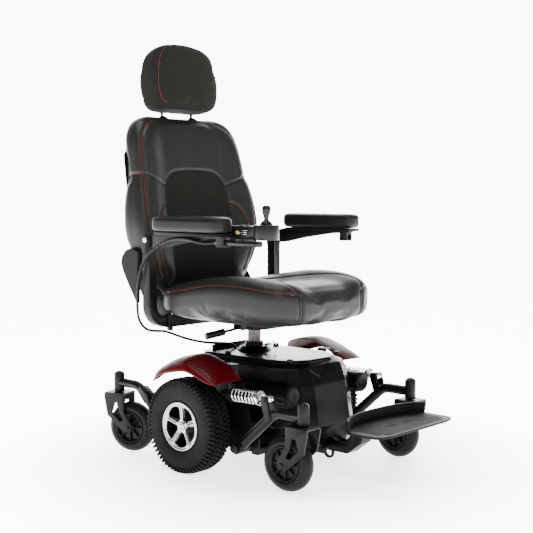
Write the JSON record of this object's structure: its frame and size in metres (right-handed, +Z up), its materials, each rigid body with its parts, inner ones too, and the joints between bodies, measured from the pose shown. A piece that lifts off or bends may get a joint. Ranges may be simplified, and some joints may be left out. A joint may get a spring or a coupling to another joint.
{
  "type": "power wheelchair",
  "caption": "Captain's seat with headrest and flip-up arms on a swivel post over a battery base with driven centre wheels, sprung front and rear casters and a folding footplate.",
  "frame": {"origin": "on the floor under the middle of the whole chair's box", "axes": "+Z up, -Y the way the user looks, -X the user's right hand with the joystick"},
  "size_m": [0.65, 0.9652, 1.2283],
  "materials": {
    "powder_coat": "satin black powder coat",
    "hood_plastic": "satin black moulding",
    "candy_red": "metallic red lacquer",
    "tyre_rubber": "matt",
    "caster_rubber": "matt",
    "hub_plastic": "matt",
    "rim_alloy": "silver lacquer",
    "battery_case": "matt",
    "motor_casing": "painted",
    "bright_steel": "bright plated",
    "post_steel": "zinc plated",
    "vinyl": "charcoal leathergrain vinyl",
    "pad_foam": "skinned foam",
    "knob_plastic": "matt",
    "controller_plastic": "satin",
    "boot_rubber": "matt",
    "button_plastic": "satin",
    "cable_jacket": "matt"
  },
  "bodies": {
    "base": {"main_frame": "powder_coat", "belly_pan": "hood_plastic", "top_cover": "hood_plastic", "fenders": "candy_red", "batteries": "battery_case", "drive_motors": "motor_casing", "power_module": "motor_casing", "lid_knobs": "knob_plastic", "pivot_bolts": "bright_steel", "footplate_bracket": "powder_coat"},
    "drive_wheel_right": {"drive_tyre_right": "tyre_rubber", "drive_rim_right": "rim_alloy"},
    "front_arm_right": {"front_arm_right": "powder_coat"},
    "rear_arm_right": {"rear_arm_right": "powder_coat"},
    "shock_body_right": {"shock_body_right": "bright_steel", "shock_spring_right": "bright_steel"},
    "shock_rod_right": {"shock_rod_right": "bright_steel"},
    "caster_fork_front_right": {"caster_fork_front_right": "powder_coat"},
    "caster_wheel_front_right": {"caster_tyre_front_right": "caster_rubber", "caster_hub_front_right": "hub_plastic"},
    "caster_fork_rear_right": {"caster_fork_rear_right": "powder_coat"},
    "caster_wheel_rear_right": {"caster_tyre_rear_right": "caster_rubber", "caster_hub_rear_right": "hub_plastic"},
    "armrest_right": {"armrest_bar_right": "powder_coat", "armrest_pad_right": "pad_foam", "controller_housing": "controller_plastic", "cable_arm": "cable_jacket"},
    "drive_wheel_left": {"drive_tyre_left": "tyre_rubber", "drive_rim_left": "rim_alloy"},
    "front_arm_left": {"front_arm_left": "powder_coat"},
    "rear_arm_left": {"rear_arm_left": "powder_coat"},
    "shock_body_left": {"shock_body_left": "bright_steel", "shock_spring_left": "bright_steel"},
    "shock_rod_left": {"shock_rod_left": "bright_steel"},
    "caster_fork_front_left": {"caster_fork_front_left": "powder_coat"},
    "caster_wheel_front_left": {"caster_tyre_front_left": "caster_rubber", "caster_hub_front_left": "hub_plastic"},
    "caster_fork_rear_left": {"caster_fork_rear_left": "powder_coat"},
    "caster_wheel_rear_left": {"caster_tyre_rear_left": "caster_rubber", "caster_hub_rear_left": "hub_plastic"},
    "armrest_left": {"armrest_bar_left": "powder_coat", "armrest_pad_left": "pad_foam"},
    "seat": {"seat_post": "post_steel", "seat_frame": "powder_coat", "seat_cushion": "vinyl", "armrest_posts": "powder_coat", "cable_loop": "cable_jacket", "cable_drop": "cable_jacket"},
    "swivel_lever": {"swivel_lever": "powder_coat"},
    "backrest": {"back_shell": "powder_coat", "back_cushion": "vinyl"},
    "recline_lever": {"recline_lever": "knob_plastic"},
    "headrest": {"headrest_cushion": "vinyl", "headrest_posts": "bright_steel"},
    "joystick_gimbal": {"joystick_gimbal": "bright_steel"},
    "joystick_stick": {"joystick_stick": "boot_rubber"},
    "power_button": {"power_button": "button_plastic"},
    "horn_button": {"horn_button": "button_plastic"},
    "footplate": {"footplate": "powder_coat"}
  },
  "joints": [
    {"name": "drive_wheel_right_spin", "type": "hinge", "parent": "base", "child": "drive_wheel_right", "pos_m": [-0.287, 0.0924, 0.133], "axis": [1, 0, 0], "continuous": true},
    {"name": "front_arm_right_pivot", "type": "hinge", "parent": "base", "child": "front_arm_right", "pos_m": [-0.242, -0.0646, 0.088], "axis": [-1, 0, 0], "range_deg": [0, 10], "stiffness_Nm_per_rad": 600, "springref_deg": -6.88},
    {"name": "rear_arm_right_pivot", "type": "hinge", "parent": "base", "child": "rear_arm_right", "pos_m": [-0.242, 0.2554, 0.112], "axis": [1, 0, 0], "range_deg": [0, 8], "stiffness_Nm_per_rad": 600, "springref_deg": -6.88},
    {"name": "shock_right_swing", "type": "hinge", "parent": "base", "child": "shock_body_right", "pos_m": [-0.242, -0.0086, 0.228], "axis": [-1, 0, 0], "range_deg": [0, 6.9]},
    {"name": "shock_right_stroke", "type": "slide", "parent": "shock_body_right", "child": "shock_rod_right", "axis": [0, 0.9998, -0.0195], "range_m": [0, 0.0256], "deforming": ["shock_spring_right"]},
    {"name": "caster_front_right_swivel", "type": "hinge", "parent": "front_arm_right", "child": "caster_fork_front_right", "pos_m": [-0.242, -0.2846, 0.18], "axis": [0, 0, 1], "continuous": true},
    {"name": "caster_front_right_spin", "type": "hinge", "parent": "caster_fork_front_right", "child": "caster_wheel_front_right", "pos_m": [-0.24521, -0.23871, 0.075], "axis": [0.9976, 0.0698, 0], "continuous": true},
    {"name": "caster_rear_right_swivel", "type": "hinge", "parent": "rear_arm_right", "child": "caster_fork_rear_right", "pos_m": [-0.242, 0.4374, 0.18], "axis": [0, 0, 1], "continuous": true},
    {"name": "caster_rear_right_spin", "type": "hinge", "parent": "caster_fork_rear_right", "child": "caster_wheel_rear_right", "pos_m": [-0.22855, 0.39341, 0.075], "axis": [-0.9563, -0.2924, 0], "continuous": true},
    {"name": "drive_wheel_left_spin", "type": "hinge", "parent": "base", "child": "drive_wheel_left", "pos_m": [0.287, 0.0924, 0.133], "axis": [1, 0, 0], "continuous": true},
    {"name": "front_arm_left_pivot", "type": "hinge", "parent": "base", "child": "front_arm_left", "pos_m": [0.242, -0.0646, 0.088], "axis": [-1, 0, 0], "range_deg": [0, 10], "stiffness_Nm_per_rad": 600, "springref_deg": -6.88},
    {"name": "rear_arm_left_pivot", "type": "hinge", "parent": "base", "child": "rear_arm_left", "pos_m": [0.242, 0.2554, 0.112], "axis": [1, 0, 0], "range_deg": [0, 8], "stiffness_Nm_per_rad": 600, "springref_deg": -6.88},
    {"name": "shock_left_swing", "type": "hinge", "parent": "base", "child": "shock_body_left", "pos_m": [0.242, -0.0086, 0.228], "axis": [-1, 0, 0], "range_deg": [0, 6.9]},
    {"name": "shock_left_stroke", "type": "slide", "parent": "shock_body_left", "child": "shock_rod_left", "axis": [0, 0.9998, -0.0195], "range_m": [0, 0.0256], "deforming": ["shock_spring_left"]},
    {"name": "caster_front_left_swivel", "type": "hinge", "parent": "front_arm_left", "child": "caster_fork_front_left", "pos_m": [0.242, -0.2846, 0.18], "axis": [0, 0, 1], "continuous": true},
    {"name": "caster_front_left_spin", "type": "hinge", "parent": "caster_fork_front_left", "child": "caster_wheel_front_left", "pos_m": [0.24521, -0.23871, 0.075], "axis": [0.9976, -0.0698, 0], "continuous": true},
    {"name": "caster_rear_left_swivel", "type": "hinge", "parent": "rear_arm_left", "child": "caster_fork_rear_left", "pos_m": [0.242, 0.4374, 0.18], "axis": [0, 0, 1], "continuous": true},
    {"name": "caster_rear_left_spin", "type": "hinge", "parent": "caster_fork_rear_left", "child": "caster_wheel_rear_left", "pos_m": [0.23401, 0.3921, 0.075], "axis": [-0.9848, 0.1736, 0], "continuous": true},
    {"name": "seat_swivel", "type": "hinge", "parent": "base", "child": "seat", "pos_m": [0, 0.1074, 0.38], "axis": [0, 0, 1], "range_deg": [-90, 90], "deforming": ["cable_drop"]},
    {"name": "swivel_lever_lift", "type": "hinge", "parent": "seat", "child": "swivel_lever", "pos_m": [-0.077, 0.0944, 0.384], "axis": [0, 1, 0], "range_deg": [0, 12], "stiffness_Nm_per_rad": 2, "springref_deg": -22.92},
    {"name": "backrest_recline", "type": "hinge", "parent": "seat", "child": "backrest", "pos_m": [0, 0.3284, 0.476], "axis": [1, 0, 0], "range_deg": [-30, 0]},
    {"name": "recline_lever_lift", "type": "hinge", "parent": "backrest", "child": "recline_lever", "pos_m": [-0.23, 0.36338, 0.55919], "axis": [-1, 0, 0], "range_deg": [0, 20], "stiffness_Nm_per_rad": 1.5, "springref_deg": -22.92},
    {"name": "headrest_height", "type": "slide", "parent": "backrest", "child": "headrest", "axis": [0, 0.1736, 0.9848], "range_m": [0, 0.06]},
    {"name": "armrest_right_flip", "type": "hinge", "parent": "seat", "child": "armrest_right", "pos_m": [-0.268, 0.2684, 0.64], "axis": [-1, 0, 0], "range_deg": [0, 90], "deforming": ["cable_loop"]},
    {"name": "armrest_left_flip", "type": "hinge", "parent": "seat", "child": "armrest_left", "pos_m": [0.268, 0.2684, 0.64], "axis": [-1, 0, 0], "range_deg": [0, 90]},
    {"name": "joystick_fore_aft", "type": "hinge", "parent": "armrest_right", "child": "joystick_gimbal", "pos_m": [-0.226, -0.1436, 0.686], "axis": [1, 0, 0], "range_deg": [-18, 18], "stiffness_Nm_per_rad": 0.3},
    {"name": "joystick_side", "type": "hinge", "parent": "joystick_gimbal", "child": "joystick_stick", "pos_m": [-0.226, -0.1436, 0.686], "axis": [0, 1, 0], "range_deg": [-18, 18], "stiffness_Nm_per_rad": 0.3},
    {"name": "power_button_press", "type": "slide", "parent": "armrest_right", "child": "power_button", "axis": [0, 0, -1], "range_m": [0, 0.0015], "stiffness_N_per_m": 400, "springref_m": -0.001},
    {"name": "horn_button_press", "type": "slide", "parent": "armrest_right", "child": "horn_button", "axis": [0, 0, -1], "range_m": [0, 0.0015], "stiffness_N_per_m": 400, "springref_m": -0.001},
    {"name": "footplate_flip", "type": "hinge", "parent": "base", "child": "footplate", "pos_m": [0, -0.2996, 0.142], "axis": [-1, 0, 0], "range_deg": [0, 90]}
  ],
  "couplings": [
    {"joint": "shock_right_swing", "follows": "front_arm_right_pivot", "ratio": 0.68404},
    {"joint": "shock_right_stroke", "follows": "front_arm_right_pivot", "m_per_rad": 0.14386},
    {"joint": "shock_left_swing", "follows": "front_arm_left_pivot", "ratio": 0.68404},
    {"joint": "shock_left_stroke", "follows": "front_arm_left_pivot", "m_per_rad": 0.14386}
  ]
}
